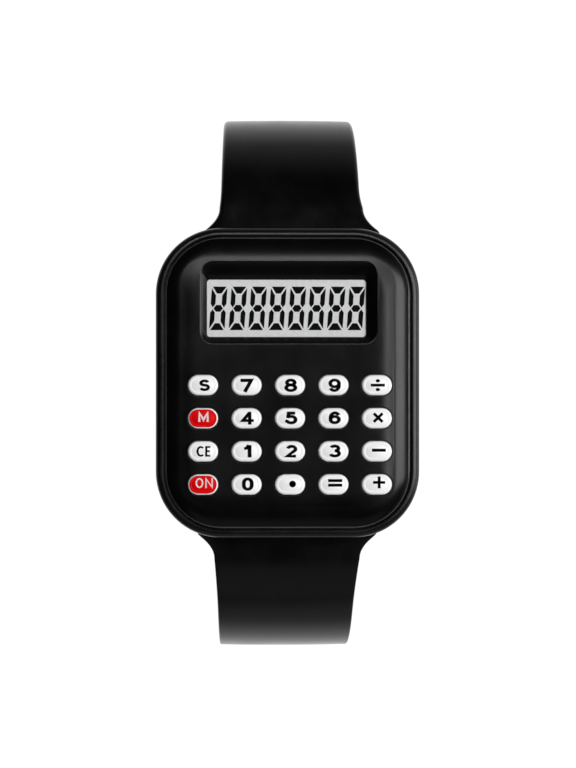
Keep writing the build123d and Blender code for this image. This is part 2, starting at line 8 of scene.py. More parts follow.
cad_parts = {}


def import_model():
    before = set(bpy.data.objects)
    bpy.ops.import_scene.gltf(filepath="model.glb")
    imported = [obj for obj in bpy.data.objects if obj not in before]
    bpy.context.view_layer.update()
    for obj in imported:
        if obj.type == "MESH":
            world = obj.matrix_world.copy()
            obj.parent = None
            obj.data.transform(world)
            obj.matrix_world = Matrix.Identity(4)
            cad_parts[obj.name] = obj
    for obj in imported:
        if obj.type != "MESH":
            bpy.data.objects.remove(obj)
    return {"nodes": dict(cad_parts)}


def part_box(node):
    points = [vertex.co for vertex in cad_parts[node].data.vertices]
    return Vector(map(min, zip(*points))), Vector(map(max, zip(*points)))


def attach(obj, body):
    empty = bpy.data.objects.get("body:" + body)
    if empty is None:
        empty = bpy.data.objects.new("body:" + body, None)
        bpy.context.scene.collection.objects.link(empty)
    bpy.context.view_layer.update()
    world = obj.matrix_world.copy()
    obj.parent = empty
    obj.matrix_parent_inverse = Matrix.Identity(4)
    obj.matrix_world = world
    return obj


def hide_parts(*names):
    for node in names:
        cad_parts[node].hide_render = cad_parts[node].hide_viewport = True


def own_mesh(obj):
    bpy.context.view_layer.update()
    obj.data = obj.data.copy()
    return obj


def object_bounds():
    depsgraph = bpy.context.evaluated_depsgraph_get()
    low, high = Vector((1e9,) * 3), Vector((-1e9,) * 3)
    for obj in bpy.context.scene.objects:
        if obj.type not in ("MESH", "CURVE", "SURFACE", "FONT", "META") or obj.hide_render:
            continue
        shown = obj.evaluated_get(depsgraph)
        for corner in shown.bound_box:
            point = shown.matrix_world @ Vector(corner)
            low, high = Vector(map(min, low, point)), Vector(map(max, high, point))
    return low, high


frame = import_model()
cad_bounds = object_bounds()

# The dressed calculator watch. All lengths are in metres; MM turns millimetres into them.
# +Z points out of the dial, +Y to the buckle side of the strap, +X to the right.
MM = 0.001
MAIN_BODY = "case_and_strap"

# Case outline that the strap heads follow
CASE_END = 24.65 * MM
CASE_CORNER = 10.5 * MM
CASE_STRAIGHT = 10.5 * MM

# Strap, along its middle line
STRAP_WIDTH_CASE = 22.8 * MM
STRAP_WIDTH_FLAT = 20.2 * MM
STRAP_TAPER = 0.058
# The halves' rounding, sideways set, and neck's extra width on each side with its reach
UPPER_FORM = (0.75 * MM, 0.6 * MM, 0.33 * MM, 3.5 * MM)
LOWER_FORM = (0.28 * MM, -0.1 * MM, 0.47 * MM, 10.0 * MM)
NECK_SET = 0.15 * MM
SHIFT_START_Z = -14 * MM
SHIFT_END_Z = -28 * MM
STRAP_THICKNESS = 2.2 * MM
STRAP_CROWN = 0.12 * MM
STRAP_GAP = 0.1 * MM
STRAP_START_Y = 23.65 * MM
STRAP_START_Z = 3.6 * MM
STRAP_SLOPE = 15.0
STRAP_RUN = 4.6 * MM
SHOULDER_BEND = 20.0 * MM
SIDE_BEND = 18.0 * MM
UNDER_BEND = 40.0 * MM
UNDER_ANGLE = 30.0
LAYER_STEP = 2.65 * MM
FLARE_WIDTH = 2.63 * MM
FLARE_START = 0.6 * MM
TIP_ROUND = 7.0 * MM
TIP_WRAP = 25.0
STATION = 0.9 * MM
HEAD_ROWS = 14
HEAD_PASSES = 6
NOSE_ROWS = 6
NOSE_TURN = 88
NOSE_EDGE = 0.08 * MM
TAIL_ROWS = 22
ROUND_LIMIT = 0.98  # a rounding takes up at most this share of what it rounds

# Holes, spring bars and buckle bar
HOLE_COUNT = 7
HOLES_BEFORE_TANG = 2
HOLE_PITCH = 7.0 * MM
HOLE_LENGTH = 5.2 * MM
HOLE_WIDTH = 2.6 * MM
TANG_HOLE_Y = 3.6 * MM
BAR_Y = -2.0 * MM
TANG_SLOT = 2.5 * MM
SLOT_LENGTH = 5.2 * MM
SLOT_SHIFT = 1.3 * MM
SLOT_DEPTH = 3.0 * MM
LUG_BAR_Y = 23.05 * MM
LUG_BAR_Z = 2.75 * MM
KNUCKLE_RADIUS = 1.5 * MM
KNUCKLE_HALF_WIDTH = 10.0 * MM
KNUCKLE_START = 80
KNUCKLE_SWEEP = 200
KNUCKLE_NECK = 0.9 * MM

# Keepers
KEEPER_WIDTH = 3.6 * MM
KEEPER_WALL = 1.1 * MM
KEEPER_ROUND = 0.38 * MM
KEEPER_CORNER = 1.3 * MM

# Face plate
FACE_TOP = 10.5 * MM
PLATE_INSET = 1.52 * MM
PLATE_SEAT = 8.0 * MM
PLATE_UNDERSIDE = 8.9 * MM
PLATE_WALL = 2.18 * MM
PLATE_HOLLOW_CORNER = 4.0 * MM
PLATE_EDGE_ROUND = 0.22 * MM
# How far in from the plate's edge the lighter material reaches: a painted highlight line along the
# shoulder's round edge
EDGE_HIGHLIGHT_WIDTH = 0.209 * MM
EDGE_ROWS = 5
SHOULDER_ROWS = 18
SHOULDER_RADIUS = 7.0 * MM
SHOULDER_ANGLE = 26.0
SIDE_SHARE = 0.75
CORNER_SHARE = 1.5
COLLAR = 0.06 * MM
LEAN_ANGLE = 8.0
LEAN_INSETS = (5.5 * MM, 3.6 * MM, 0.2 * MM)
LEAN_ROWS = [inset * MM for inset in (7.5, 6.2, 5.5, 5.1, 4.7, 4.3, 3.9, 3.65)]
LEAN_STEP = 0.9 * MM
LEAN_CLEARANCE = 0.22 * MM
PLATE_LEVEL = 9.0 * MM
MOUTH_SIZE = (28.4 * MM, 13.3 * MM)
MOUTH_PLACE = (0.15 * MM, 12.75 * MM)
MOUTH_CORNER = 2.2 * MM
MOUTH_ROUND = 0.5 * MM
MOUTH_ANGLE = 40.0
WINDOW_SIZE = (25.3 * MM, 9.1 * MM)
WINDOW_PLACE = (-0.2 * MM, 11.85 * MM)
WINDOW_CORNER = 0.5 * MM
FUNNEL_DEPTH = 1.1 * MM
FUNNEL_SHARES = (0.33, 0.66, 0.97)
WINDOW_EDGE = 0.05 * MM
KEY_GAP = 0.12 * MM
HOLE_ROUND = 0.08 * MM
HOLE_SHARES = (0.13, 0.5)
FLANGE = 0.35 * MM
POST_RADIUS = 1.1 * MM
POST_SIDES = 24
POST_BOTTOM = 6.2 * MM
DISPLAY_POSTS = (15.7 * MM, 10.9 * MM)

# Keys
KEY_ROUND = 0.42 * MM
KEY_ROWS = 6
KEY_RING_STEP = 0.06 * MM
KEY_RING_DEPTH = 0.03 * MM
RED_DEPTH = 0.12 * MM
LEGEND_DEPTH = 0.03 * MM

# Keypad
SHEET_TOP = 6.8 * MM
SHEET_CORNER = 2.4 * MM
POST_HOLE = 1.2 * MM
DOME_SIZE = (3.4 * MM, 2.4 * MM)
DOME_CORNER = 0.3 * MM
DOME_TAPER = 16.0
DOME_EDGE = 0.12 * MM
DOME_ROWS = 4


# Materials

def clean_tree(holder):
    """The empty node tree of a new material or world."""
    holder.use_nodes = True
    holder.node_tree.nodes.clear()
    return holder.node_tree


def add_node(tree, kind, inputs=None, operation=None):
    """A new node with its inputs linked to sockets or set to values."""
    node = tree.nodes.new(kind)
    if operation:
        node.operation = operation
    for name, value in (inputs or {}).items():
        if isinstance(value, bpy.types.NodeSocket):
            tree.links.new(value, node.inputs[name])
        else:
            node.inputs[name].default_value = value
    return node


def show_shader(tree, inputs):
    """The shader of a solid surface, shown by its material."""
    shader = add_node(tree, "ShaderNodeBsdfPrincipled", inputs)
    add_node(tree, "ShaderNodeOutputMaterial", {"Surface": shader.outputs["BSDF"]})


def noise(tree, coords, size, detail=4.0):
    """Noise whose features are about as large as size, in metres."""
    inputs = {"Vector": coords, "Scale": 1 / size, "Detail": detail}
    return add_node(tree, "ShaderNodeTexNoise", inputs).outputs["Fac"]


def ramp(tree, value, low, high, start=0.3, end=0.7):
    """Turns a 0 to 1 value into a value between low and high."""
    inputs = {"Value": value, "From Min": start, "From Max": end, "To Min": low, "To Max": high}
    return add_node(tree, "ShaderNodeMapRange", inputs).outputs["Result"]


def colour_mix(tree, factor, first, second):
    node = add_node(tree, "ShaderNodeMix", {0: factor, 6: (*first, 1), 7: (*second, 1)})
    node.data_type = "RGBA"
    return node.outputs[2]


def object_coords(tree):
    return add_node(tree, "ShaderNodeTexCoord").outputs["Object"]


def calculate(tree, operation, first, second):
    """The result of a calculation with two sockets."""
    return add_node(tree, "ShaderNodeMath", {0: first, 1: second}, operation).outputs[0]


def mix_shaders(tree, share, first, second):
    inputs = {"Fac": share, 1: first.outputs[0], 2: second.outputs[0]}
    return add_node(tree, "ShaderNodeMixShader", inputs).outputs[0]


# Each surface: its two colours, its range of roughness, the sizes of its patches and its grain
# and the grain's height in millimetres, its share of metal and its specular level
SURFACES = {
    "case_black": (
        (0.0025, 0.0025, 0.0027), (0.004, 0.004, 0.0042), (0.26, 0.34), (6, 0.12, 0.006), 0, 0.3
    ),
    "panel_black": (
        (0.0012, 0.0012, 0.0013), (0.0024, 0.0024, 0.0025), (0.21, 0.27), (8, 0.10, 0.0015), 0, 0.2
    ),
    # Much lighter than the panel's black, for the shoulder's round edge of the same plastic: a
    # painted highlight line
    "edge_painted_highlight": (
        (0.035, 0.035, 0.036), (0.055, 0.055, 0.056), (0.18, 0.26), (3, 0.08, 0.002), 0, 0.9
    ),
    "silicone_black": (
        (0.0012, 0.0012, 0.0013), (0.0024, 0.0024, 0.0025), (0.20, 0.27), (5, 0.15, 0.004), 0, 0.25
    ),
    "key_white": (
        (0.92, 0.92, 0.925), (0.96, 0.96, 0.965), (0.30, 0.42), (1.2, 0.15, 0.004), 0, 0.5
    ),
    "key_red": (
        (0.66, 0.001, 0.002), (0.74, 0.002, 0.003), (0.28, 0.38), (1, 0.15, 0.002), 0, 0.05
    ),
    "ink_black": (
        (0.001, 0.001, 0.001), (0.003, 0.003, 0.003), (0.40, 0.55), (0.4, 0.05, 0.001), 0, 0.02
    ),
    "ink_white": ((0.74, 0.62, 0.62), (0.84, 0.76, 0.76), (0.40, 0.50), (0.4, 0.05, 0.002), 0, 0.5),
    "lcd_film": (
        (0.61, 0.615, 0.61), (0.69, 0.695, 0.69), (0.30, 0.40), (0.5, 0.06, 0.001), 0, 0.5
    ),
    "lcd_segment": (
        (0.002, 0.002, 0.002), (0.005, 0.005, 0.006), (0.35, 0.45), (0.3, 0.05, 0.001), 0, 0.02
    ),
    "lcd_glass": ((0.40, 0.44, 0.42), (0.52, 0.56, 0.54), (0.05, 0.12), (1, 0.2, 0.001), 0, 0.5),
    "buckle_black": (
        (0.010, 0.010, 0.011), (0.018, 0.018, 0.019), (0.28, 0.40), (2, 0.1, 0.006), 0, 0.5
    ),
    "steel": ((0.42, 0.42, 0.43), (0.56, 0.56, 0.56), (0.25, 0.40), (1, 0.08, 0.004), 1, 0.5),
    "brass": ((0.62, 0.50, 0.26), (0.74, 0.62, 0.36), (0.22, 0.36), (1, 0.08, 0.003), 1, 0.5),
    "board_green": ((0.012, 0.10, 0.035), (0.02, 0.16, 0.06), (0.35, 0.5), (2, 0.3, 0.01), 0, 0.5),
    "epoxy": ((0.01, 0.01, 0.01), (0.02, 0.02, 0.02), (0.25, 0.45), (1, 0.2, 0.01), 0, 0.5),
    "ceramic": ((0.50, 0.40, 0.28), (0.60, 0.50, 0.38), (0.45, 0.6), (0.5, 0.1, 0.004), 0, 0.5),
    "soft_rubber": ((0.34, 0.34, 0.35), (0.44, 0.44, 0.45), (0.5, 0.65), (2, 0.2, 0.008), 0, 0.5),
}
GRAIN_ROUGHNESS = 0.03
ZEBRA_PITCH = 1.2 * MM
ZEBRA_COLOURS = ((0.02, 0.02, 0.02), (0.55, 0.30, 0.34))


def surface(name):
    """A surface whose colour, roughness and height vary: patches of one size, grain of another."""
    first, second, roughness, sizes, metallic, specular = SURFACES[name]
    patch, grain, bump = (size * MM for size in sizes)
    material = bpy.data.materials.new(name)
    tree = clean_tree(material)
    coords = object_coords(tree)
    patches = noise(tree, coords, patch)
    grains = noise(tree, coords, grain, 2.0)
    uneven = ramp(tree, grains, -GRAIN_ROUGHNESS, GRAIN_ROUGHNESS)
    relief = add_node(tree, "ShaderNodeBump", {"Distance": bump, "Height": grains})
    show_shader(tree, {
        "Base Color": colour_mix(tree, ramp(tree, patches, 0, 1), first, second),
        "Roughness": calculate(tree, "ADD", ramp(tree, patches, *roughness), uneven),
        "Normal": relief.outputs["Normal"],
        "Metallic": metallic,
        "Specular IOR Level": specular,
    })
    return material


def zebra_rubber():
    """Pink rubber with fine dark conductors across it."""
    material = bpy.data.materials.new("zebra_rubber")
    tree = clean_tree(material)
    inputs = {"Vector": object_coords(tree), "Scale": 1 / ZEBRA_PITCH, "Distortion": 0.3}
    wave = add_node(tree, "ShaderNodeTexWave", inputs).outputs["Fac"]
    show_shader(tree, {
        "Base Color": colour_mix(tree, wave, *ZEBRA_COLOURS),
        "Roughness": ramp(tree, wave, 0.5, 0.7, 0, 1),
    })
    return material


# Mesh helpers

SMOOTH_ANGLE = 35.0
PLATE_ANGLE = 40.0
CAP_ANGLE = 50.0
PRINT_ANGLE = 30.0


def make_object(name, vertices, faces, materials, smooth_angle=SMOOTH_ANGLE):
    mesh = bpy.data.meshes.new(name)
    mesh.from_pydata(vertices, [], faces)
    mesh.validate()
    for material in materials:
        mesh.materials.append(material)
    fix_normals(mesh)
    piece = bpy.data.objects.new(name, mesh)
    bpy.context.scene.collection.objects.link(piece)
    smooth(piece, smooth_angle)
    return piece


def fix_normals(mesh):
    shape = bmesh.new()
    shape.from_mesh(mesh)
    bmesh.ops.recalc_face_normals(shape, faces=shape.faces)
    shape.to_mesh(mesh)
    shape.free()


def smooth(piece, angle=SMOOTH_ANGLE):
    """Smooth shading, with edges sharper than angle kept."""
    mesh = piece.data
    mesh.shade_smooth()
    mesh.set_sharp_from_angle(angle=math.radians(angle))


def ring_faces(count, rings, capped=True, closed=False):
    """Quads between rings of count points, which end in caps or else close on themselves."""
    faces = []
    for ring in range(rings if closed else rings - 1):
        low, high = ring * count, (ring + 1) % rings * count
        for i in range(count):
            j = (i + 1) % count
            faces.append((low + i, low + j, high + j, high + i))
    if capped and not closed:
        faces.append(tuple(reversed(range(count))))
        faces.append(tuple(range((rings - 1) * count, rings * count)))
    return faces


def shifted(faces, start):
    """Faces whose vertex numbers begin at start."""
    return [tuple(start + i for i in face) for face in faces]


def add_prism(vertices, faces, outline, levels):
    """Adds an upright prism between two levels."""
    faces += shifted(ring_faces(len(outline), 2), len(vertices))
    vertices += [(x, y, z) for z in levels for x, y in outline]


def corner_turns(steps):
    """Points round the corners of a rectangle: side, level, and the turn's cosine and sine."""
    for quarter, (side, level) in enumerate(((1, 1), (-1, 1), (-1, -1), (1, -1))):
        for i in range(steps + 1):
            angle = math.radians(90 * quarter + 90 * i / steps)
            yield side, level, math.cos(angle), math.sin(angle)


def rounded_ring(middle, half, corner, z, arc=12, end=None):
    """Points round a rectangle, counter-clockwise; an elliptical corner reaches end along Y."""
    end = corner if end is None else end
    return [
        (
            middle[0] + side * (half[0] - corner) + corner * cosine,
            middle[1] + level * (half[1] - end) + end * sine, z,
        )
        for side, level, cosine, sine in corner_turns(arc)
    ]


def stadium(half_width, half_height, inset=0.0, arc=14):
    """Points round a shape with half-round ends, drawn in by inset."""
    radius = half_height - inset
    reach = half_width - half_height
    points = []
    for end, turned in ((1, 0.0), (-1, math.pi)):
        for i in range(arc + 1):
            angle = math.radians(-90 + 180 * i / arc) + turned
            points.append((end * reach + radius * math.cos(angle), radius * math.sin(angle)))
    return points


def node_box(node):
    """A CAD node's middle and half its size, each as x, y and z."""
    low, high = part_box(node)
    return (
        [(a + b) / 2 for a, b in zip(low, high)], [(b - a) / 2 for a, b in zip(low, high)]
    )


def cut(piece, cutter):
    """Cuts the cutter out of the piece and removes it."""
    modifier = piece.modifiers.new("cut", "BOOLEAN")
    modifier.operation = "DIFFERENCE"
    modifier.solver = "FAST"
    modifier.object = cutter
    graph = bpy.context.evaluated_depsgraph_get()
    mesh = bpy.data.meshes.new_from_object(piece.evaluated_get(graph))
    piece.modifiers.clear()
    piece.data = mesh
    bpy.data.objects.remove(cutter)


def join_into(piece, extra):
    """Adds the extra object's mesh to the piece's as a shell of its own."""
    shape = bmesh.new()
    shape.from_mesh(piece.data)
    shape.from_mesh(extra.data)
    shape.to_mesh(piece.data)
    shape.free()
    bpy.data.objects.remove(extra)


# Strap

def strap_moves(extra_drop, flat_run, wrap):
    """The strap's middle line past its head: arcs as radius and turn, runs as length and 0."""
    moves = [
        (SHOULDER_BEND, 90 - STRAP_SLOPE), (extra_drop, 0), (SIDE_BEND, 90 - UNDER_ANGLE),
        (UNDER_BEND, UNDER_ANGLE), (flat_run, 0), (UNDER_BEND + extra_drop, wrap),
    ]
    if not extra_drop:
        moves.remove((extra_drop, 0))
    return moves if wrap else moves[:-1]


def walk(moves):
    """Stations along the middle line after the head: y, z, heading and distance walked."""
    slope = math.radians(STRAP_SLOPE)
    y = STRAP_START_Y + STRAP_RUN * math.cos(slope)
    z = STRAP_START_Z - STRAP_RUN * math.sin(slope)
    heading = -slope
    walked = 0.0
    stations = [(y, z, heading, walked)]
    for size, turn in moves:
        length = size * math.radians(turn) if turn else size
        steps = max(1, round(length / STATION))
        for _ in range(steps):
            step = length / steps
            bend = -step / size if turn else 0.0
            chord = 2 * size * math.sin(-bend / 2) if turn else step
            y += chord * math.cos(heading + bend / 2)
            z += chord * math.sin(heading + bend / 2)
            heading += bend
            walked += step
            stations.append((y, z, heading, walked))
    return stations


def flat_place(extra_drop):
    """The station at which the flat starts."""
    return walk(strap_moves(extra_drop, STATION, 0)[:-1])[-1]


def half_width_at(walked):
    """Half the strap's width: it draws in evenly along its length, then stays even."""
    width = STRAP_WIDTH_CASE - STRAP_TAPER * (STRAP_RUN + walked)
    return max(STRAP_WIDTH_FLAT, width) / 2


def side_shift_at(shift, z):
    """The half's sideways set at its head, which fades out down the wrist's side."""
    share = (z - SHIFT_END_Z) / (SHIFT_START_Z - SHIFT_END_Z)
    return shift * max(0.0, min(1.0, share))


def neck_left(walked, reach):
    """The share of the neck's extra width that is left at a distance walked from the head."""
    return max(0.0, 1 - walked / reach) ** 2


def flare_half_width(s, neck):
    """Half the head's width at a distance s along it: a parabola from tip to neck."""
    share = max(0.0, min(1.0, (s - FLARE_START) / (STRAP_RUN - FLARE_START)))
    return neck + FLARE_WIDTH * (1 - share) ** 2


def case_outline_y(x):
    """Where the case's end wall is, with the strap's gap, at a distance x from the middle."""
    radius = CASE_CORNER + STRAP_GAP
    beyond = max(0.0, abs(x) - CASE_STRAIGHT)
    return CASE_END + STRAP_GAP - radius + math.sqrt(radius ** 2 - beyond ** 2)


def section(across=14, corner=6):
    """A unit section: each point's side share, level, and its offsets from its corner."""
    points = []
    for number, (side, level, cosine, sine) in enumerate(corner_turns(corner)):
        points.append((side, level, cosine, sine))
        if side == level and number % (corner + 1) == corner:
            for i in range(1, across):
                points.append((side * (1 - 2 * i / across), level, 0.0, level))
    return points


def section_point(point, half_width, half_thickness, rounding):
    """Side and height of a section point, with a slight crown on the outer face."""
    side, level, cosine, sine = point
    x = side * (half_width - rounding) + rounding * cosine
    n = level * (half_thickness - rounding) + rounding * sine
    if level > 0:
        share = min(1.0, abs(x) / half_width)
        n -= STRAP_CROWN * share ** 2
    return x, n


def strap_mesh(name, extra_drop, flat_run, wrap, form, material):
    """A strap half on the +Y side as a closed skin; the one that wraps on ends in a tail."""
    edge, shift, extra, reach = form
    slope = math.radians(STRAP_SLOPE)
    along = (math.cos(slope), -math.sin(slope))
    outward = (math.sin(slope), math.cos(slope))
    neck = half_width_at(0.0) + extra
    points = section()
    half = STRAP_THICKNESS / 2
    vertices = []
    for row in range(HEAD_ROWS):
        share = row / HEAD_ROWS
        for point in points:
            s = FLARE_START
            for _ in range(HEAD_PASSES):
                x, n = section_point(point, flare_half_width(s, neck), half, edge)
                x += shift + NECK_SET
                start = (case_outline_y(x) - STRAP_START_Y - n * outward[0]) / along[0]
                s = start + share * (STRAP_RUN - start)
            y = STRAP_START_Y + s * along[0] + n * outward[0]
            z = STRAP_START_Z + s * along[1] + n * outward[1]
            vertices.append((x, y, z))
    stations = walk(strap_moves(extra_drop, flat_run, wrap))
    total = stations[-1][3]
    if wrap:
        stations = refine_tail(stations, total)
    else:
        stations = stations + nose_stations(stations[-1], half)
    for y, z, heading, walked in stations:
        left = neck_left(walked, reach)
        width = half_width_at(walked) + extra * left
        thickness = half
        rounding = edge
        if wrap:
            width, thickness, rounding = tail_section(width, half, edge, total - walked)
        elif walked > total:
            thickness = max(NOSE_EDGE, math.sqrt(max(0.0, half ** 2 - (walked - total) ** 2)))
            rounding = min(edge, thickness * ROUND_LIMIT)
        aside = side_shift_at(shift, z) + NECK_SET * left
        for point in points:
            x, n = section_point(point, width, thickness, rounding)
            vertices.append((x + aside, y - n * math.sin(heading), z + n * math.cos(heading)))
    rings = len(vertices) // len(points)
    return make_object(name, vertices, ring_faces(len(points), rings), [material])


def nose_stations(last, half):
    """Rows past the end of the upper half, which round its nose."""
    y, z, heading, walked = last
    rows = []
    for i in range(1, NOSE_ROWS + 1):
        reach = half * math.sin(math.radians(NOSE_TURN) * i / NOSE_ROWS)
        rows.append((
            y + reach * math.cos(heading), z + reach * math.sin(heading), heading, walked + reach
        ))
    return rows


def refine_tail(stations, total):
    """Closer rows over the rounded tip, where the outline turns fast."""
    kept = [s for s in stations if s[3] < total - TIP_ROUND]
    last = stations[-1]
    radius = UNDER_BEND + LAYER_STEP
    rows = []
    for i in range(TAIL_ROWS + 1):
        back = TIP_ROUND * (1 - math.sin(math.radians(90) * i / TAIL_ROWS))
        turn = back / radius
        heading = last[2] + turn
        chord = 2 * radius * math.sin(turn / 2)
        middle = last[2] + turn / 2
        rows.append((
            last[0] - chord * math.cos(middle), last[1] - chord * math.sin(middle),
            heading, total - back,
        ))
    return kept + rows


def tail_section(width, half, edge, left):
    """Width, thickness and rounding of the tail at a distance left from its tip."""
    if left < TIP_ROUND:
        width = width - TIP_ROUND + math.sqrt(TIP_ROUND ** 2 - (TIP_ROUND - left) ** 2)
    thickness = half
    if left < edge:
        thickness = half - edge + math.sqrt(max(0.0, edge ** 2 - (edge - left) ** 2))
    return width, max(thickness, half - edge), min(edge, thickness * ROUND_LIMIT)


def knuckle(material, rounds=16):
    """The eye round the spring bar, in the case's notch, and its neck to the head."""
    profile = []
    for i in range(rounds + 1):
        angle = math.radians(KNUCKLE_START + KNUCKLE_SWEEP * i / rounds)
        profile.append((
            LUG_BAR_Y + KNUCKLE_RADIUS * math.cos(angle),
            LUG_BAR_Z + KNUCKLE_RADIUS * math.sin(angle),
        ))
    reach = CASE_END + KNUCKLE_NECK
    middle = STRAP_START_Z - (reach - STRAP_START_Y) * math.tan(math.radians(STRAP_SLOPE))
    profile += [(reach, middle - KNUCKLE_NECK), (reach, middle + KNUCKLE_NECK)]
    vertices = []
    for x in (-KNUCKLE_HALF_WIDTH, KNUCKLE_HALF_WIDTH):
        vertices += [(x, y, z) for y, z in profile]
    return make_object("knuckle", vertices, ring_faces(len(profile), 2), [material])


def slot_cutter(y, z, heading, length, width, depth):
    """A prism with half-round ends, square to the strap at a station."""
    outline = stadium(length / 2, width / 2, arc=10)
    vertices = []
    for n in (-depth, depth):
        for s, x in outline:
            vertices.append((
                x,
                y + s * math.cos(heading) - n * math.sin(heading),
                z + s * math.sin(heading) + n * math.cos(heading),
            ))
    return make_object("cutter", vertices, ring_faces(len(outline), 2), [])


def station_at(stations, distance):
    """The place and heading at a distance walked, between the two nearest stations."""
    for first, second in zip(stations, stations[1:]):
        if second[3] >= distance:
            share = (distance - first[3]) / (second[3] - first[3])
            return tuple(a + (b - a) * share for a, b in zip(first, second))
    return stations[-1]


def mirror_y(piece):
    """Turns a +Y half into a -Y half."""
    piece.data.transform(Matrix.Scale(-1, 4, (0, 1, 0)))
    fix_normals(piece.data)
    smooth(piece)


def strap_upper(material):
    flat_y, flat_z, _, _ = flat_place(0.0)
    piece = strap_mesh("strap_upper_skin", 0.0, flat_y - BAR_Y, 0, UPPER_FORM, material)
    y = BAR_Y - SLOT_SHIFT
    cut(piece, slot_cutter(y, flat_z, math.pi, SLOT_LENGTH, TANG_SLOT, SLOT_DEPTH))
    join_into(piece, knuckle(material))
    smooth(piece)
    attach(piece, MAIN_BODY)
    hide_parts("strap_upper")


def strap_lower(material):
    flat_y, _, _, flat_walked = flat_place(LAYER_STEP)
    piece = strap_mesh(
        "strap_lower_skin", LAYER_STEP, 2 * flat_y, TIP_WRAP, LOWER_FORM, material
    )
    stations = walk(strap_moves(LAYER_STEP, 2 * flat_y, TIP_WRAP))
    tang = flat_walked + flat_y - TANG_HOLE_Y
    for i in range(HOLE_COUNT):
        y, z, heading, _ = station_at(stations, tang + (i - HOLES_BEFORE_TANG) * HOLE_PITCH)
        cut(piece, slot_cutter(y, z, heading, HOLE_LENGTH, HOLE_WIDTH, 2 * STRAP_THICKNESS))
    join_into(piece, knuckle(material))
    mirror_y(piece)
    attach(piece, MAIN_BODY)
    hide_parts("strap_lower")


# Keepers

def keeper(name, node, body, material):
    """A loop with rounded edges, round the two layers of the strap, at its CAD node's place."""
    middle, half = node_box(node)
    reaches = (half[0] - KEEPER_CORNER, half[2] - KEEPER_CORNER)
    path = [
        (side * reaches[0], level * reaches[1], cosine, sine)
        for side, level, cosine, sine in corner_turns(8)
    ]
    half_wall, half_flat = KEEPER_WALL / 2, KEEPER_WIDTH / 2 - KEEPER_ROUND
    ring = [
        (
            side * half_flat + KEEPER_ROUND * cosine,
            level * (half_wall - KEEPER_ROUND) + KEEPER_ROUND * sine - half_wall,
        )
        for side, level, cosine, sine in corner_turns(4)
    ]
    vertices = []
    for x, z, cosine, sine in path:
        for across, depth in ring:
            reach = KEEPER_CORNER + depth
            vertices.append((
                middle[0] + x + reach * cosine, middle[1] + across, middle[2] + z + reach * sine
            ))
    faces = ring_faces(len(ring), len(path), closed=True)
    piece = make_object(name, vertices, faces, [material])
    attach(piece, body)
    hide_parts(node)


# Face plate

def roll_over(radius, angle, steps):
    """Run and drop of points along an arc that leaves the level and turns down to angle."""
    turns = [math.radians(angle) * (i + 1) / steps for i in range(steps)]
    return [(radius * math.sin(turn), radius * (1 - math.cos(turn))) for turn in turns]


def plate_rim_rows(half, corner):
    """Rows from the level face out over the shoulder, down the edge and in underneath.

    The shoulder is drawn in less at the sides and the corners, where keys stand close to it.
    """
    reach = SHOULDER_RADIUS * math.sin(math.radians(SHOULDER_ANGLE))
    rows = [(reach + COLLAR, 0.0), (reach, 0.0)]
    for run, drop in roll_over(SHOULDER_RADIUS, SHOULDER_ANGLE, SHOULDER_ROWS):
        rows.append((reach - run, drop))
    shoulder_drop = rows[-1][1]
    tilt = math.radians(SHOULDER_ANGLE)
    placed = []
    for inset, drop in rows:
        side = PLATE_EDGE_ROUND + inset * SIDE_SHARE
        end = PLATE_EDGE_ROUND + inset
        placed.append(rounded_ring(
            (0, 0), (half[0] - side, half[1] - end), corner - CORNER_SHARE * side,
            FACE_TOP - drop, end=corner - CORNER_SHARE * end,
        ))
    for i in range(1, EDGE_ROWS + 1):
        turn = tilt + (math.pi / 2 - tilt) * i / EDGE_ROWS
        share = (math.sin(turn) - math.sin(tilt)) / (1 - math.sin(tilt))
        inset = PLATE_EDGE_ROUND * (1 - share)
        drop = shoulder_drop + PLATE_EDGE_ROUND * (math.cos(tilt) - math.cos(turn))
        placed.append(rounded_ring(
            (0, 0), (half[0] - inset, half[1] - inset), corner - inset, FACE_TOP - drop
        ))
    placed.append(rounded_ring((0, 0), half, corner, PLATE_SEAT))
    inner = (half[0] - PLATE_WALL, half[1] - PLATE_WALL)
    for z in (PLATE_SEAT, PLATE_UNDERSIDE):
        placed.append(rounded_ring((0, 0), inner, PLATE_HOLLOW_CORNER, z))
    return placed


def mouth_rows():
    """Rows from the level face into the display's funnel and through the window."""
    rows = []
    for run, drop in [(-COLLAR, 0.0), (0.0, 0.0)] + roll_over(MOUTH_ROUND, MOUTH_ANGLE, 6):
        half = (MOUTH_SIZE[0] / 2 - run, MOUTH_SIZE[1] / 2 - run)
        rows.append(rounded_ring(MOUTH_PLACE, half, MOUTH_CORNER - run, FACE_TOP - drop))
    window_half = (WINDOW_SIZE[0] / 2, WINDOW_SIZE[1] / 2)
    low = FACE_TOP - FUNNEL_DEPTH
    upper = rows[-1]
    lower = rounded_ring(WINDOW_PLACE, window_half, WINDOW_CORNER, low)
    for share in FUNNEL_SHARES:
        rows.append([
            tuple(a + (b - a) * share for a, b in zip(first, second))
            for first, second in zip(upper, lower)
        ])
    for z in (low - WINDOW_EDGE, PLATE_UNDERSIDE):
        rows.append(rounded_ring(WINDOW_PLACE, window_half, WINDOW_CORNER, z))
    return rows


def key_hole_rows(middle, half):
    """Rows from the level face round a key hole's edge and down to the underside."""
    rows = []
    near, far = (HOLE_ROUND * share for share in HOLE_SHARES)
    for grow, drop in (
        (HOLE_ROUND + COLLAR, 0), (HOLE_ROUND, 0), (far, near), (near, far), (0, HOLE_ROUND),
        (0, FACE_TOP - PLATE_UNDERSIDE),
    ):
        size = (half[0] + grow, half[1] + grow)
        rows.append(rounded_ring(middle, size, size[1] * ROUND_LIMIT, FACE_TOP - drop, 8))
    return rows


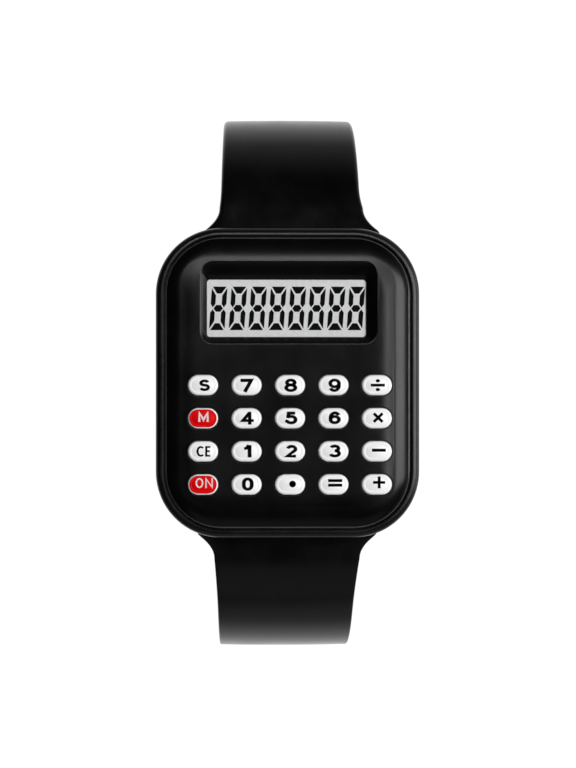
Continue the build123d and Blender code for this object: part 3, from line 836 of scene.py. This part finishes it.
def level_fill(vertices, loops, inner=()):
    """Triangles between an outer loop of vertex numbers and the loops of its openings.

    The vertices numbered in inner lie between the loops, and become corners as well.
    """
    order = [number for loop in loops for number in loop] + list(inner)
    flat = [Vector(vertices[number][:2]) for number in order]
    rings, start = [], 0
    for loop in loops:
        rings.append(list(range(start, start + len(loop))))
        start += len(loop)
    _, _, faces, origins, _, sources = delaunay_2d_cdt(flat, [], rings, 1, 1e-9)
    return [
        tuple(order[origins[i][0]] for i in face)
        for face, source in zip(faces, sources) if list(source) == [0]
    ]


def lean_points(half, openings):
    """Points along rows inside the plate's edge, clear of the openings' bounding boxes."""
    boxes = []
    for rows in openings:
        xs, ys = [point[0] for point in rows[0]], [point[1] for point in rows[0]]
        boxes.append((min(xs), max(xs), min(ys), max(ys)))
    points = []
    for inset in LEAN_ROWS:
        corner = CASE_CORNER - PLATE_INSET - inset
        ring = rounded_ring((0, 0), (half[0] - inset, half[1] - inset), corner, FACE_TOP)
        for first, second in zip(ring, ring[1:] + ring[:1]):
            count = max(1, round(math.dist(first, second) / LEAN_STEP))
            for i in range(count):
                x, y, z = (a + (b - a) * i / count for a, b in zip(first, second))
                if all(
                    x < left - LEAN_CLEARANCE or x > right + LEAN_CLEARANCE
                    or y < low - LEAN_CLEARANCE or y > high + LEAN_CLEARANCE
                    for left, right, low, high in boxes
                ):
                    points.append((x, y, z))
    return points


def plate_posts():
    """Between the first and last two keys of the middle rows, and beside the display."""
    def between(first, second):
        low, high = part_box(first)[0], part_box(second)[1]
        return (low.x + high.x) / 2, (low.y + high.y) / 2

    places = [
        between("key_4", "key_s"), between("key_6", "key_divide"),
        between("key_on", "key_1"), between("key_equals", "key_minus"),
    ]
    return places + [(side * DISPLAY_POSTS[0], DISPLAY_POSTS[1]) for side in (-1, 1)]


def inset_at(x, y, half):
    """How far a place lies inside the plate's outline."""
    reach = CASE_CORNER - PLATE_INSET
    corner = (abs(x) - half[0] + reach, abs(y) - half[1] + reach)
    if min(corner) > 0:
        return reach - math.hypot(*corner)
    return min(half[0] - abs(x), half[1] - abs(y))


def paint_edge_highlight(piece, half):
    """Gives the round edge of the shoulder, a thin line in view, a lighter material: a painted
    highlight line.
    """
    for polygon in piece.data.polygons:
        x, y, z = polygon.center
        if z > PLATE_LEVEL and inset_at(x, y, half) < EDGE_HIGHLIGHT_WIDTH:
            # Painted highlight: the edge's faces take the lighter material
            polygon.material_index = 1


def leaned(x, y, z, half):
    """A point of the face, sunk where the face leans towards the edge all round."""
    if z <= PLATE_LEVEL:
        return x, y, z
    start, full, end = LEAN_INSETS
    inset = inset_at(x, y, half)
    first = max(0.0, min(start - full, start - inset))
    second = max(0.0, min(full - end, full - inset))
    lean = math.tan(math.radians(LEAN_ANGLE))
    drop = first ** 2 / (2 * (start - full)) + second - second ** 2 / (2 * (full - end))
    return x, y, z - lean * drop


def pierced(openings):
    """The walls of a plate's outline and openings, its underside, and the loops at its top."""
    vertices, faces, tops, bottoms = [], [], [], []
    for rows in openings:
        start, count = len(vertices), len(rows[0])
        for row in rows:
            vertices += row
        faces += shifted(ring_faces(count, len(rows), capped=False), start)
        tops.append(range(start, start + count))
        bottoms.append(range(len(vertices) - count, len(vertices)))
    return vertices, faces + level_fill(vertices, bottoms), tops


def front_panel(material, edge_highlight_material):
    """The face plate with its rolled shoulder, softly edged display funnel and key holes."""
    half = node_box("front_panel")[1][:2]
    openings = [plate_rim_rows(half, CASE_CORNER - PLATE_INSET), mouth_rows()]
    for key_name in LEGENDS:
        middle, key_half = node_box("key_" + key_name)
        grow = KEY_GAP - FLANGE
        openings.append(key_hole_rows(middle, (key_half[0] + grow, key_half[1] + grow)))
    vertices, faces, tops = pierced(openings)
    inner = lean_points(half, openings[1:])
    vertices += inner
    faces += level_fill(vertices, tops, range(len(vertices) - len(inner), len(vertices)))
    vertices = [leaned(x, y, z, half) for x, y, z in vertices]
    turns = [2 * math.pi * i / POST_SIDES for i in range(POST_SIDES)]
    for x, y in plate_posts():
        circle = [(x + POST_RADIUS * math.cos(t), y + POST_RADIUS * math.sin(t)) for t in turns]
        add_prism(vertices, faces, circle, (POST_BOTTOM, PLATE_UNDERSIDE))
    # The second material is the lighter one for the edge's painted highlight line
    piece = make_object("front_panel_skin", vertices, faces, [material, edge_highlight_material], PLATE_ANGLE)
    paint_edge_highlight(piece, half)
    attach(piece, MAIN_BODY)
    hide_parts("front_panel")


# Keys

def key_mesh(name, half, depth, materials, red):
    """A cap with straight sides, a rounded top edge and a fine ring round its flat face."""
    rows = [(0.0, -depth), (0.0, -KEY_ROUND)]
    for i in range(1, KEY_ROWS + 1):
        angle = math.radians(90 * i / KEY_ROWS)
        rows.append((KEY_ROUND * (1 - math.cos(angle)), KEY_ROUND * (math.sin(angle) - 1)))
    ring = KEY_ROUND + KEY_RING_STEP
    for step, drop in ((0, 0), (1, KEY_RING_DEPTH), (2, KEY_RING_DEPTH), (3, 0)):
        rows.append((ring + step * KEY_RING_STEP, -drop))
    vertices = []
    for inset, z in rows:
        vertices += [(x, y, z) for x, y in stadium(half[0], half[1], inset)]
    faces = ring_faces(len(vertices) // len(rows), len(rows))
    piece = make_object(name, vertices, faces, materials, CAP_ANGLE)
    if red:
        for polygon in piece.data.polygons:
            if all(piece.data.vertices[v].co.z > -RED_DEPTH for v in polygon.vertices):
                polygon.material_index = 1
    return piece


# Glyphs, drawn as strokes in a unit box: lists of points along each stroke's middle

def bow(x, y, rx, ry, start, end, steps=28):
    """Points along part of an ellipse, from one angle to another in degrees."""
    points = []
    for i in range(steps + 1):
        angle = math.radians(start + (end - start) * i / steps)
        points.append((x + rx * math.cos(angle), y + ry * math.sin(angle)))
    return points


NINE = [bow(0.5, 0.68, 0.49, 0.32, 0, 360), bow(0.47, 0.5, 0.52, 0.5, 16, -146)]
GLYPHS = {
    "0": [
        bow(0.5, 0.62, 0.5, 0.38, 0, 180, 14) + bow(0.5, 0.38, 0.5, 0.38, 180, 360, 14)
        + [(1.0, 0.62)]
    ],
    "1": [[(0, 0.77), (0.45, 0.83), (0.92, 1.08)], [(1, 1.08), (1, -0.1)]],
    "2": [bow(0.5, 0.72, 0.46, 0.28, 168, -28) + [(0, 0), (1, 0)]],
    "3": [bow(0.5, 0.765, 0.43, 0.235, 160, -90), bow(0.5, 0.265, 0.5, 0.265, 90, -162)],
    "4": [[(0.68, 1.0), (0, 0.26), (1.1, 0.26)], [(0.74, 1.1), (0.74, -0.1)]],
    "5": [[(0.95, 1), (0.18, 1), (0.10, 0.48)], bow(0.47, 0.33, 0.53, 0.33, 140, -160)],
    "6": [[(1 - x, 1 - y) for x, y in stroke] for stroke in NINE],
    "7": [[(-0.1, 1), (0.96, 1), (0.26, -0.1)]],
    "8": [bow(0.5, 0.765, 0.42, 0.235, 0, 360), bow(0.5, 0.265, 0.5, 0.265, 0, 360)],
    "9": NINE,
    "S": [bow(0.5, 0.76, 0.46, 0.24, 18, 262) + bow(0.5, 0.26, 0.5, 0.26, 82, -164)],
    "C": [bow(0.68, 0.5, 0.68, 0.5, 56, 304)],
    "E": [[(0.86, 1), (0, 1), (0, 0), (0.86, 0)], [(0, 0.52), (0.76, 0.52)]],
    "M": [[(0, -0.1), (0, 1), (0.5, 0.12), (1, 1), (1, -0.1)]],
    "O": [bow(0.5, 0.5, 0.5, 0.5, 0, 360)],
    "N": [[(0, -0.1), (0, 1), (1, 0), (1, 1.1)]],
    "+": [[(-0.1, 0.5), (1.1, 0.5)], [(0.5, -0.1), (0.5, 1.1)]],
    "-": [[(-0.1, 0.5), (1.1, 0.5)]],
    "=": [[(-0.1, 0), (1.1, 0)], [(-0.1, 1), (1.1, 1)]],
    "x": [[(0, 0), (1, 1)], [(0, 1), (1, 0)]],
    "/": [
        [(-0.1, 0.5), (1.1, 0.5)],
        bow(0.5, 0.02, 0.04, 0.02, 0, 360), bow(0.5, 0.98, 0.04, 0.02, 0, 360),
    ],
    ".": [bow(0.5, 0.5, 0.25, 0.25, 0, 360)],
}

# Each legend: its glyphs, its middle's offset from the key's middle, its width and height,
# and the thickness of its upright and level strokes, in millimetres
LEGENDS = {
    "s": ("S", 0.24, -0.02, 1.72, 1.84, 0.50, 0.42),
    "7": ("7", 0.07, -0.02, 2.04, 2.08, 0.60, 0.52),
    "8": ("8", 0.12, -0.02, 2.06, 2.12, 0.60, 0.46),
    "9": ("9", 0.18, -0.02, 2.00, 2.12, 0.58, 0.45),
    "divide": ("/", 0.15, 0.00, 2.24, 1.90, 0.52, 0.45),
    "m": ("M", 0.08, 0.22, 1.65, 1.55, 0.35, 0.32),
    "4": ("4", 0.15, 0.02, 2.00, 2.02, 0.56, 0.44),
    "5": ("5", 0.22, 0.05, 1.94, 2.02, 0.60, 0.47),
    "6": ("6", 0.20, 0.07, 1.96, 2.02, 0.60, 0.46),
    "multiply": ("x", 0.20, 0.10, 1.84, 1.80, 0.45, 0.45),
    "ce": ("CE", 0.20, 0.02, 2.46, 1.68, 0.33, 0.29),
    "1": ("1", 0.05, 0.03, 1.48, 1.96, 0.62, 0.44),
    "2": ("2", 0.26, 0.03, 1.92, 2.02, 0.56, 0.48),
    "3": ("3", 0.20, 0.06, 1.96, 2.04, 0.58, 0.46),
    "minus": ("-", 0.32, 0.18, 2.20, 0.48, 0.48, 0.48),
    "on": ("ON", 0.20, 0.26, 2.74, 1.58, 0.24, 0.22),
    "0": ("0", 0.19, 0.08, 1.86, 2.08, 0.62, 0.46),
    "point": (".", 0.41, 0.08, 1.30, 1.26, 0.84, 0.82),
    "equals": ("=", 0.27, 0.26, 2.24, 1.20, 0.47, 0.47),
    "plus": ("+", 0.36, 0.33, 1.94, 1.88, 0.46, 0.44),
}
LETTER_GAP = 0.30
MITRE_LIMIT = 0.45


def stroke_sides(points, closed):
    """The left and right sides of a stroke one unit wide, with mitred corners."""
    sides = []
    count = len(points)
    for i in range(count):
        before = points[i - 1] if i or closed else None
        after = points[(i + 1) % count] if i + 1 < count or closed else None
        normals = []
        for first, second in ((before, points[i]), (points[i], after)):
            if first and second:
                run = Vector((second[0] - first[0], second[1] - first[1]))
                if run.length > 0:
                    run.normalize()
                    normals.append(Vector((-run.y, run.x)))
        middle = sum(normals, Vector((0, 0)))
        middle.normalize()
        reach = 0.5 / max(MITRE_LIMIT, middle.dot(normals[0]))
        place = Vector(points[i])
        sides.append((place + middle * reach, place - middle * reach))
    return sides


def in_box(share, span):
    """A place across the glyph's box, in stroke widths; past either end is its very edge."""
    if share < 0:
        return -0.5
    return span + 0.5 if share > 1 else share * span


def glyph_quads(character, left, low, width, height, stem, bar):
    """The glyph's strokes as closed rings of corner points, level with one another."""
    rings = []
    for stroke in GLYPHS[character]:
        closed = len(stroke) > 3 and math.dist(stroke[0], stroke[-1]) < 1e-6
        points = stroke[:-1] if closed else stroke
        placed = [
            (in_box(x, (width - stem) / stem), in_box(y, (height - bar) / bar))
            for x, y in points
        ]
        sides = [
            [(left + stem / 2 + p.x * stem, low + bar / 2 + p.y * bar) for p in pair]
            for pair in stroke_sides(placed, closed)
        ]
        rings.append((sides, closed))
    return rings


def legend(key_name, middle, material):
    """The key's legend as a thin mesh on its face."""
    text, dx, dy, width, height, stem, bar = LEGENDS[key_name]
    share = (width - LETTER_GAP * (len(text) - 1)) / len(text)
    low, high = -LEGEND_DEPTH / 2, LEGEND_DEPTH / 2
    vertices, faces = [], []
    for i, character in enumerate(text):
        left = dx - width / 2 + i * (share + LETTER_GAP)
        rings = glyph_quads(character, left, dy - height / 2, share, height, stem, bar)
        for sides, closed in rings:
            faces += shifted(ring_faces(4, len(sides), closed=closed), len(vertices))
            for first, second in sides:
                for (x, y), z in ((first, low), (second, low), (second, high), (first, high)):
                    vertices.append((middle.x + x * MM, middle.y + y * MM, middle.z + z))
    return make_object("legend_" + key_name, vertices, faces, [material], PRINT_ANGLE)


def keys(white, red, black_ink, white_ink):
    for key_name in LEGENDS:
        node = "key_" + key_name
        low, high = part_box(node)
        (x, y, _), half = node_box(node)
        is_red = key_name in ("m", "on")
        half = (half[0] - FLANGE, half[1] - FLANGE)
        piece = key_mesh("cap_" + key_name, half, high.z - low.z, [white, red], is_red)
        middle = Vector((x, y, high.z))
        piece.location = middle
        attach(piece, node + "_body")
        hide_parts(node)
        label = legend(key_name, middle, white_ink if is_red else black_ink)
        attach(label, node + "_body")


# Keypad

def keypad_sheet(material):
    """The rubber sheet that carries the domes, with a hole round each post."""
    middle, half = node_box("rubber_keypad")
    outlines = [(middle, half, SHEET_CORNER)]
    for place in plate_posts()[:4]:
        outlines.append((place, (POST_HOLE, POST_HOLE), POST_HOLE * ROUND_LIMIT))
    levels = (SHEET_TOP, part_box("rubber_keypad")[0].z)
    vertices, faces, tops = pierced([
        [rounded_ring(place, size, corner, z, 8) for z in levels]
        for place, size, corner in outlines
    ])
    faces += level_fill(vertices, tops)
    piece = make_object("keypad_sheet", vertices, faces, [material])
    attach(piece, MAIN_BODY)
    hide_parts("rubber_keypad")


def dome(key_name, top, material):
    """The dome under a key, which a pressed key squashes; here it keeps one fixed shape."""
    place = node_box("key_" + key_name)[0][:2]
    rows = [(0.0, SHEET_TOP - DOME_EDGE), (0.0, SHEET_TOP)]
    slope = math.tan(math.radians(DOME_TAPER))
    for i in range(DOME_ROWS + 1):
        turn = math.radians(90 * i / DOME_ROWS)
        z = top - DOME_EDGE * (1 - math.sin(turn))
        rows.append(((z - SHEET_TOP) * slope + DOME_EDGE * (1 - math.cos(turn)), z))
    vertices = []
    for inset, z in rows:
        half = (DOME_SIZE[0] / 2 - inset, DOME_SIZE[1] / 2 - inset)
        vertices += rounded_ring(place, half, DOME_CORNER, z, 4)
    faces = ring_faces(len(vertices) // len(rows), len(rows))
    piece = make_object("dome_" + key_name, vertices, faces, [material], CAP_ANGLE)
    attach(piece, MAIN_BODY)
    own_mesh(piece)


def keypad(material):
    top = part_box("rubber_keypad")[1].z
    keypad_sheet(material)
    for key_name in LEGENDS:
        dome(key_name, top, material)


# Display

DIGITS = 8
DIGIT_PITCH = 3.13 * MM
DIGIT_FIRST_X = -11.06 * MM
DIGIT_Y = 11.84 * MM
DIGIT_SLANT = 0.07
SEGMENT_DEPTH = 0.015 * MM

# The segments of one digit, in millimetres: the bars are mirrors of the upper right one
CAP = [(-1.09, 3.46), (1.09, 3.46), (0.36, 2.36), (-0.36, 2.36)]
BAR = [(1.24, 3.12), (1.24, 0.68), (0.88, 0.16), (0.50, 0.68), (0.50, 2.06), (1.20, 3.18)]
MIDDLE = [(-0.74, 0), (-0.36, 0.54), (0.36, 0.54), (0.74, 0), (0.36, -0.54), (-0.36, -0.54)]
SEGMENTS = [MIDDLE, CAP, [(x, -y) for x, y in CAP]] + [
    [(sx * x, sy * y) for x, y in BAR] for sx in (1, -1) for sy in (1, -1)
]


def lcd_segments(material):
    """All segments of the eight digits, as thin plates on the film."""
    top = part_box("lcd_polariser")[1].z
    vertices, faces = [], []
    for digit in range(DIGITS):
        left = DIGIT_FIRST_X + digit * DIGIT_PITCH
        for shape in SEGMENTS:
            outline = [(left + (x + DIGIT_SLANT * y) * MM, DIGIT_Y + y * MM) for x, y in shape]
            add_prism(vertices, faces, outline, (top, top + SEGMENT_DEPTH))
    piece = make_object("lcd_segments", vertices, faces, [material])
    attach(piece, MAIN_BODY)


# CAD nodes that stay

FINISHES = {
    "case_black": ("mid_case", "case_back"),
    "buckle_black": ("buckle_frame", "buckle_tang"),
    "steel": (
        "quartz_crystal", "battery_cell", "board_screws", "back_screws", "spring_bar_upper",
        "spring_bar_lower", "buckle_bar",
    ),
    "brass": ("battery_contact_negative", "battery_contact_positive"),
    "lcd_film": ("lcd_polariser", "lcd_reflector"),
    "ceramic": ("capacitors",),
    "lcd_glass": ("lcd_glass",),
    "zebra_rubber": ("zebra_connector",),
    "board_green": ("circuit_board",),
    "epoxy": ("chip_blob",),
}
EDGE_SOFTNESS = 0.12 * MM
EDGE_ANGLE = 28.0
WELD_DISTANCE = 0.001 * MM


def dress_nodes():
    """Gives the CAD nodes that show their materials, and the bare ones softened edges."""
    for name, nodes in FINISHES.items():
        material = surface(name) if name in SURFACES else zebra_rubber()
        for node in nodes:
            shown = frame["nodes"][node]
            shown.data.materials.clear()
            shown.data.materials.append(material)
    for node in FINISHES["case_black"] + FINISHES["buckle_black"]:
        soften(frame["nodes"][node])


def soften(shown):
    """Rounds a CAD node's sharp edges with modifiers, and leaves its mesh as it is."""
    weld = shown.modifiers.new("weld", "WELD")
    weld.merge_threshold = WELD_DISTANCE
    bevel = shown.modifiers.new("soften", "BEVEL")
    bevel.width = EDGE_SOFTNESS
    bevel.segments = 2
    bevel.limit_method = "ANGLE"
    bevel.angle_limit = math.radians(EDGE_ANGLE)
    bevel.harden_normals = False


# Stage, light and camera

FLOOR_SIZE = 1.2
FLOOR_DROP = 0.05 * MM
FLOOR_PLAIN = (0.8, 0.8, 0.8, 1)
FLOOR_GLOW_SHARE = 0.93
FLOOR_GLOW_SEEN = 1.065
FLOOR_GLOW = (1.2, 0.42, 0.08, 0.2)  # its levels near the watch and far off, and these distances
SKY_HEIGHT = (0.92, 0.02, 0.0, 0.42)  # levels at the horizon and overhead, and their heights
SKY_SIDE = (0.85, -0.1, 0)
SKY_SIDES = (0.06, 1.0, -0.7, 0.6)  # levels away from that side and towards it

# Each lamp: azimuth (0 is towards +X, 90 towards +Y) and elevation in degrees, size and power
LAMPS = {
    "right_box": (6, 54, (0.38, 0.6), 6.4),
    "fill_box": (-90, 34, (0.9, 0.5), 0.44),
    "top_box": (92, 75, (0.4, 0.1), 1.7),
    "side_box": (0, 6, (0.6, 0.2), 2.0),
}
LAMP_DISTANCE = 0.9


def background_material():
    """White to the camera and to glossy rays, with a share of plain white that takes shadow.

    Glossy rays find it brightest close to the watch, which brightens its lowest edges.
    """
    material = bpy.data.materials.new("floor_white")
    tree = clean_tree(material)
    path = add_node(tree, "ShaderNodeLightPath").outputs
    reach = add_node(tree, "ShaderNodeVectorMath", {0: object_coords(tree)}, "LENGTH")
    level = add_node(tree, "ShaderNodeMix", {
        0: path["Is Camera Ray"], 2: ramp(tree, reach.outputs["Value"], *FLOOR_GLOW),
        3: FLOOR_GLOW_SEEN,
    })
    plain = add_node(tree, "ShaderNodeBsdfDiffuse", {"Color": FLOOR_PLAIN})
    inputs = {"Color": (1, 1, 1, 1), "Strength": level.outputs[0]}
    glow = add_node(tree, "ShaderNodeEmission", inputs)
    seen = calculate(tree, "MAXIMUM", path["Is Camera Ray"], path["Is Glossy Ray"])
    seen = calculate(tree, "MAXIMUM", seen, path["Is Transmission Ray"])
    share = ramp(tree, seen, 0.0, FLOOR_GLOW_SHARE, 0.0, 1.0)
    mixed = mix_shaders(tree, share, plain, glow)
    add_node(tree, "ShaderNodeOutputMaterial", {"Surface": mixed})
    return material


def floor():
    size = FLOOR_SIZE
    z = cad_bounds[0].z - FLOOR_DROP
    vertices = [(-size, -size, z), (size, -size, z), (size, size, z), (-size, size, z)]
    piece = make_object("floor", vertices, [(0, 1, 2, 3)], [background_material()])


def world():
    """A dim sky, dark overhead and bright at the horizon, and white to the camera."""
    sky = bpy.data.worlds.new("studio")
    bpy.context.scene.world = sky
    tree = clean_tree(sky)
    coords = add_node(tree, "ShaderNodeTexCoord").outputs["Generated"]
    height = add_node(tree, "ShaderNodeSeparateXYZ", {0: coords}).outputs["Z"]
    inputs = {0: coords, 1: SKY_SIDE}
    side = add_node(tree, "ShaderNodeVectorMath", inputs, "DOT_PRODUCT").outputs["Value"]
    level = calculate(
        tree, "MULTIPLY", ramp(tree, height, *SKY_HEIGHT), ramp(tree, side, *SKY_SIDES)
    )
    dim = add_node(tree, "ShaderNodeBackground", {"Strength": level})
    white = add_node(tree, "ShaderNodeBackground")
    seen = add_node(tree, "ShaderNodeLightPath").outputs["Is Camera Ray"]
    mixed = mix_shaders(tree, seen, dim, white)
    add_node(tree, "ShaderNodeOutputWorld", {"Surface": mixed})


def lights():
    """Square lamps that point at the dial."""
    for name, (azimuth, elevation, size, power) in LAMPS.items():
        data = bpy.data.lights.new(name, "AREA")
        data.shape = "RECTANGLE"
        data.size, data.size_y = size
        data.energy = power
        lamp = bpy.data.objects.new(name, data)
        bpy.context.scene.collection.objects.link(lamp)
        a, e = math.radians(azimuth), math.radians(elevation)
        away = Vector((math.cos(a) * math.cos(e), math.sin(a) * math.cos(e), math.sin(e)))
        lamp.location = away * LAMP_DISTANCE
        lamp.rotation_mode = "QUATERNION"
        lamp.rotation_quaternion = away.to_track_quat("Z", "Y")


CAMERA_HEIGHT = 0.46
CAMERA_YAW = -1.56
CAMERA_SENSOR = 36.0
CAMERA_CLIP = (0.01, 10.0)
CASE_PLANE = 8.5 * MM
PIXELS_PER_METRE = 6274.0
PHOTO_HEIGHT = 768
PHOTO_WIDTH = 576
CASE_MIDDLE_PIXEL = (287.65, 382.8)


def camera():
    """The photograph's view: straight down on the dial, a little from the left."""
    data = bpy.data.cameras.new("camera")
    reach = CAMERA_HEIGHT - CASE_PLANE
    data.sensor_width = CAMERA_SENSOR
    data.lens = data.sensor_width * PIXELS_PER_METRE * reach / PHOTO_HEIGHT
    data.shift_x = (PHOTO_WIDTH / 2 - CASE_MIDDLE_PIXEL[0]) / PHOTO_HEIGHT
    data.shift_y = (CASE_MIDDLE_PIXEL[1] - PHOTO_HEIGHT / 2) / PHOTO_HEIGHT
    data.clip_start, data.clip_end = CAMERA_CLIP
    eye = bpy.data.objects.new("camera", data)
    bpy.context.scene.collection.objects.link(eye)
    yaw = math.radians(CAMERA_YAW)
    eye.rotation_euler = (0, yaw, 0)
    eye.location = (reach * math.sin(yaw), 0, CASE_PLANE + reach * math.cos(yaw))
    bpy.context.scene.camera = eye


bpy.context.scene.view_settings.view_transform = "Standard"
silicone = surface("silicone_black")
dress_nodes()
front_panel(surface("panel_black"), surface("edge_painted_highlight"))
strap_upper(silicone)
strap_lower(silicone)
keeper("keeper_fixed_skin", "keeper_fixed", MAIN_BODY, silicone)
keeper("keeper_loose_skin", "keeper_loose", "loose_keeper_body", silicone)
keys(surface("key_white"), surface("key_red"), surface("ink_black"), surface("ink_white"))
keypad(surface("soft_rubber"))
lcd_segments(surface("lcd_segment"))
floor()
world()
lights()
camera()

bpy.context.view_layer.update()
